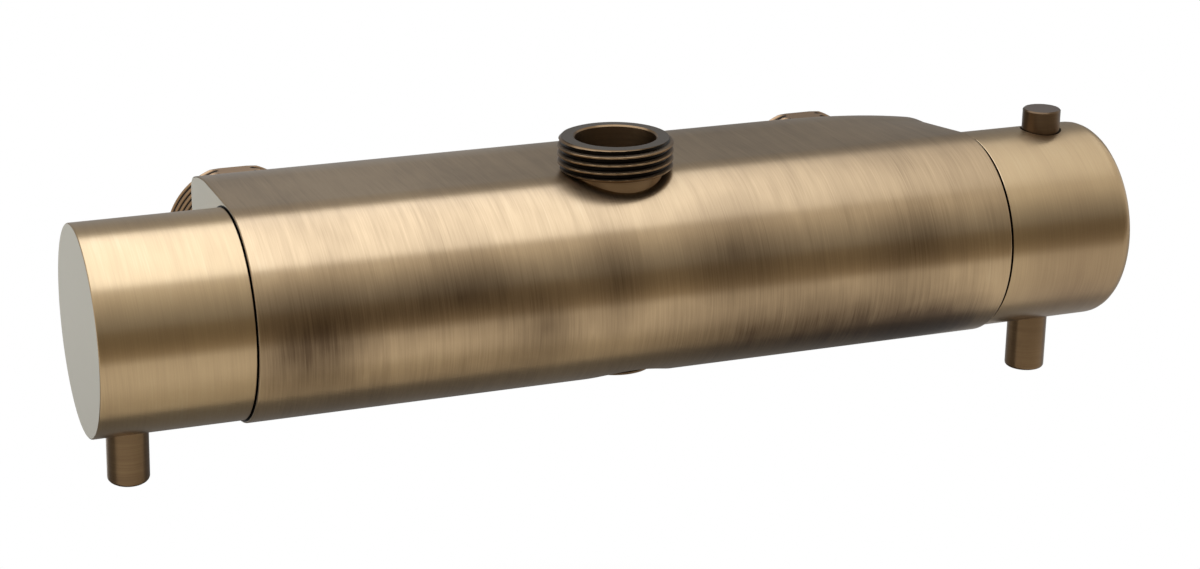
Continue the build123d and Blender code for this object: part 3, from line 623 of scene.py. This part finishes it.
def thread(places, turns, crest_radius, start, end, chamfer, phase=0.0):
    """The radius of a right-hand thread at each place and turn: a wave of one pitch, moved
    on by a pitch each turn, with rounded crests and roots, and cut off at both ends by the
    cones of the chamfers."""
    wave = (places[:, None] / pitch - turns[None, :] / (2 * math.pi) + phase) % 1.0
    flank = np.clip((np.abs(2 * wave - 1) - 0.30) / 0.58, 0, 1)
    height = thread_depth * flank * flank * (3 - 2 * flank)
    from_end = np.minimum(places - start, end - places)[:, None]
    return np.minimum(crest_radius - thread_depth + height,
                      crest_radius - chamfer + np.maximum(from_end, 0))


def nipple(name, origin, along, neck, neck_radius, start, end, crest_radius, chamfer, bores, phase):
    """A threaded nipple as a ring: its neck, its thread, its end face with a broken inner
    edge, and its bores, each a radius and the place where it ends."""
    turns = np.linspace(0, 2 * math.pi, 288, endpoint=False)
    places = np.linspace(start, end, 121)
    cut_thread = thread(places, turns, crest_radius, start, end, chamfer, phase)
    outside = np.array([(neck, bores[-1][0]), (neck, neck_radius), (start, neck_radius)])
    lip = 0.35 * mm
    inside = [(end, bores[0][0] + lip), (end - lip, bores[0][0])]
    for (radius, place), (next_radius, _) in zip(bores, bores[1:]):
        inside += [(place, radius), (place, next_radius)]
    inside = np.array(inside)
    place = np.concatenate([outside[:, 0], places, inside[:, 0]])
    radius = np.vstack([np.repeat(outside[:, 1:], len(turns), 1), cut_thread,
                        np.repeat(inside[:, 1:], len(turns), 1)])
    return turned(name, place, radius, origin, along, turns, ring=True)


# Bright worn crests over grooves painted black as shade, and a dull grey-brown rim.
outlet_bronze = antique_bronze("antique bronze plate, dark cut thread", "#9C8160", "#7C6448",
                               "#4A3A2C", "Z", 0.5, 0.30, 0.50, 31.0, end_tone="#524B42",
                               groove_shade=((0, bar_y, 0), outlet_root, 0.2 * mm))
# Browner and darker than the upper thread: painted shade, as it lies out of the light.
shaded_lower_bronze = antique_bronze("antique bronze plate, dark hidden thread", "#8C7355", "#6F5941",
                              "#43352A", "Z", 0.5, 0.30, 0.50, 37.0, end_tone="#6E665B")
top_nipple = nipple("top_nipple", (0, bar_y, 0), (0, 0, 1), neck=15.0 * mm,
                    neck_radius=11.0 * mm, start=24.4 * mm, end=32.0 * mm,
                    crest_radius=outlet_crest, chamfer=0.9 * mm,
                    bores=((9.3 * mm, 24.4 * mm), (7.5 * mm, 15.0 * mm)), phase=0.0)
finish(top_nipple, outlet_bronze, "mixer", "top_outlet")
bottom_nipple = nipple("bottom_nipple", (0, bar_y, 0), (0, 0, -1), neck=10.0 * mm,
                       neck_radius=8.4 * mm, start=14.0 * mm, end=22.5 * mm,
                       crest_radius=lower_crest, chamfer=0.8 * mm,
                       bores=((6.3 * mm, 10.0 * mm),), phase=0.3)
finish(bottom_nipple, shaded_lower_bronze, "mixer", "bottom_outlet")

# Inlet tails
# A plated brass neck is screwed into the back of the bar at each inlet. Its collar meets
# the bar and its flange holds the nut.

# place behind the bar's axis, radius and rounding of each corner, in mm
tail_corners = [(27.5, 7.6, 0), (27.5, 10.4, 0), (36.7, 10.4, 0), (36.7, 12.2, 0),
                (45.0, 12.2, 0.3), (45.0, 10.2, 0), (48.3, 10.2, 0), (48.3, 11.7, 0),
                (50.3, 11.7, 0.2), (50.3, 7.6, 0)]
tail_corners = [tuple(size * mm for size in corner) for corner in tail_corners]
# Turned and plated but hardly rubbed: a plain middle brown.
inlet_bronze = antique_bronze("antique bronze plate, turned fitting", "#B0916B", "#97795A",
                              "#5F4B38", "Y", 0.4, 0.30, 0.50, 41.0, end_tone="#8F7A60")

for end, side in ((-1, "hot"), (1, "cold")):
    tail = turned(f"{side}_neck", *rounded(tail_corners), (end * inlet_x, bar_y, 0), (0, 1, 0),
                  ring=True)
    finish(tail, inlet_bronze, "mixer", f"inlet_tail_{side}")

# Inlet nuts
# Swivel nuts turned from brass, ridged round the outside, with two flats milled for the
# spanner. A G3/4 thread is cut inside the open end, and the inner lip runs on the tail. Black
# is painted between the ridges as shade.
nut_radius, nut_flat = 17.0 * mm, 16.0 * mm
nut_start, nut_end = 45.3 * mm, 59.1 * mm
nut_lip_radius, nut_lip_end = 10.28 * mm, 48.0 * mm
nut_relief, nut_bore, nut_thread_start = 12.5 * mm, 12.06 * mm, 52.3 * mm
ridge_depth, ridge_first, ridge_last, nut_chamfer = 0.6 * mm, 46.2 * mm, 58.6 * mm, 0.6 * mm
ridge_pitch = 3.1 * mm  # four coarse ridges, which show from the front
# the middle radius of the black painted between the ridges as shade, and the thread's mouth chamfer
ridge_shade_radius, nut_mouth = 16.45 * mm, 1.3 * mm


def nut(name, origin):
    """A nut as a ring. Outside, the radius is a wave of rounded ridges, cut off by the end
    chamfers and by the two flats, whose distance grows with the slant of the turn. Inside,
    a thread's radius is turned inside out about the bore."""
    milled = math.acos(nut_flat / nut_radius)
    sides = ((math.pi / 2 - milled, math.pi / 2 + milled, 32),
             (math.pi / 2 + milled, 3 * math.pi / 2 - milled, 96),
             (3 * math.pi / 2 - milled, 3 * math.pi / 2 + milled, 32),
             (3 * math.pi / 2 + milled, 5 * math.pi / 2 - milled, 96))
    turns = np.concatenate([np.linspace(*side, endpoint=False) for side in sides])
    outside = np.linspace(nut_start, nut_end, 123)
    ridged = (outside > ridge_first) & (outside < ridge_last)
    wave = 0.5 - 0.5 * np.cos(2 * math.pi * (outside - ridge_first) / ridge_pitch)
    ridges = nut_radius - ridge_depth * np.where(ridged, wave, 0)
    from_end = np.minimum(outside - nut_start, nut_end - outside)
    ridges = np.minimum(ridges, nut_radius - nut_chamfer + from_end)
    flats = nut_flat / np.abs(np.sin(turns)).clip(0.5)
    shell = np.minimum(ridges[:, None], flats[None, :])
    inside = np.linspace(nut_end, nut_thread_start, 85)
    crest = nut_bore + thread_depth
    cut_thread = nut_bore + crest - thread(inside, turns, crest, -nut_end, nut_end, nut_mouth)
    rest = np.array([(nut_thread_start, nut_relief), (nut_lip_end, nut_relief),
                     (nut_lip_end, nut_lip_radius), (nut_start, nut_lip_radius)])
    place = np.concatenate([outside, inside, rest[:, 0]])
    radius = np.vstack([shell, cut_thread, np.repeat(rest[:, 1:], len(turns), 1)])
    return turned(name, place, radius, origin, (0, 1, 0), turns, ring=True)


# As brown as the tails on its crests and flats, and painted black between the ridges as shade.
for end, side in ((-1, "hot"), (1, "cold")):
    swivel = nut(f"{side}_swivel", (end * inlet_x, bar_y, 0))
    nut_bronze = antique_bronze(f"antique bronze plate, ridged {side} nut", "#B0916B", "#97795A",
                                "#5F4B38", "Y", 0.4, 0.30, 0.50, 47.0, end_tone="#66533F",
                                groove_shade=((end * inlet_x, 0, 0), ridge_shade_radius, 0.1 * mm))
    finish(swivel, nut_bronze, f"{side}_nut", f"inlet_nut_{side}")

# Inside the bar
# What the bar holds keeps its own solids: brass cartridges and spindles, steel springs and
# strainers, black rubber seals, acetal valves and ring, and ceramic discs.


def plain_finish(name, low, high, metallic, roughness, grain_mm, relief_mm):
    """A plain surface with a fine grain of one size: noise mixes two near colours and a
    small bump follows it."""
    material = bpy.data.materials.new(name)
    tree = clear_tree(material)
    place = add(tree, "TexCoord", {}, {}).outputs["Object"]
    grain = add(tree, "TexNoise", {}, {"Vector": place, "Scale": 1 / (grain_mm * mm),
                                       "Detail": 3.0, "Roughness": 0.55})
    colour = add(tree, "Mix", {"data_type": "RGBA"}, {0: grain.outputs["Fac"],
                                                      6: to_linear(low), 7: to_linear(high)})
    rough = add(tree, "MapRange", {}, {"Value": grain.outputs["Fac"],
                                       "To Min": roughness - 0.08, "To Max": roughness + 0.08})
    bump = add(tree, "Bump", {}, {"Height": grain.outputs["Fac"], "Strength": 0.3,
                                  "Distance": relief_mm * mm})
    surface = add(tree, "BsdfPrincipled", {},
                  {"Base Color": colour.outputs[2], "Metallic": metallic,
                   "Roughness": rough.outputs["Result"], "Normal": bump.outputs["Normal"]})
    add(tree, "OutputMaterial", {}, {"Surface": surface.outputs[0]})
    return material


# Yellow bare brass, bright wire, dull black rubber, and two whites, one waxy and one glossy.
inside_finishes = {
    "plain_brass": plain_finish("machined brass, unplated", "#C9A25A", "#DDBB75", 1.0, 0.32, 0.5, 0.01),
    "spring_steel": plain_finish("stainless spring wire", "#A9ABAD", "#C6C8C9", 1.0, 0.28, 0.4, 0.005),
    "rubber": plain_finish("black moulded rubber", "#17171A", "#222226", 0.0, 0.62, 0.3, 0.02),
    "acetal": plain_finish("white moulded acetal", "#E4E2DA", "#EFEDE6", 0.0, 0.42, 0.6, 0.01),
    "ceramic": plain_finish("lapped white ceramic", "#EDEBE4", "#F5F4EF", 0.0, 0.18, 0.4, 0.002),
}
for subpart in frame["record"]["subparts"]:
    if subpart["material_slot"] in inside_finishes:
        solid = frame["nodes"][subpart["node"]]
        solid.data.materials.clear()
        solid.data.materials.append(inside_finishes[subpart["material_slot"]])
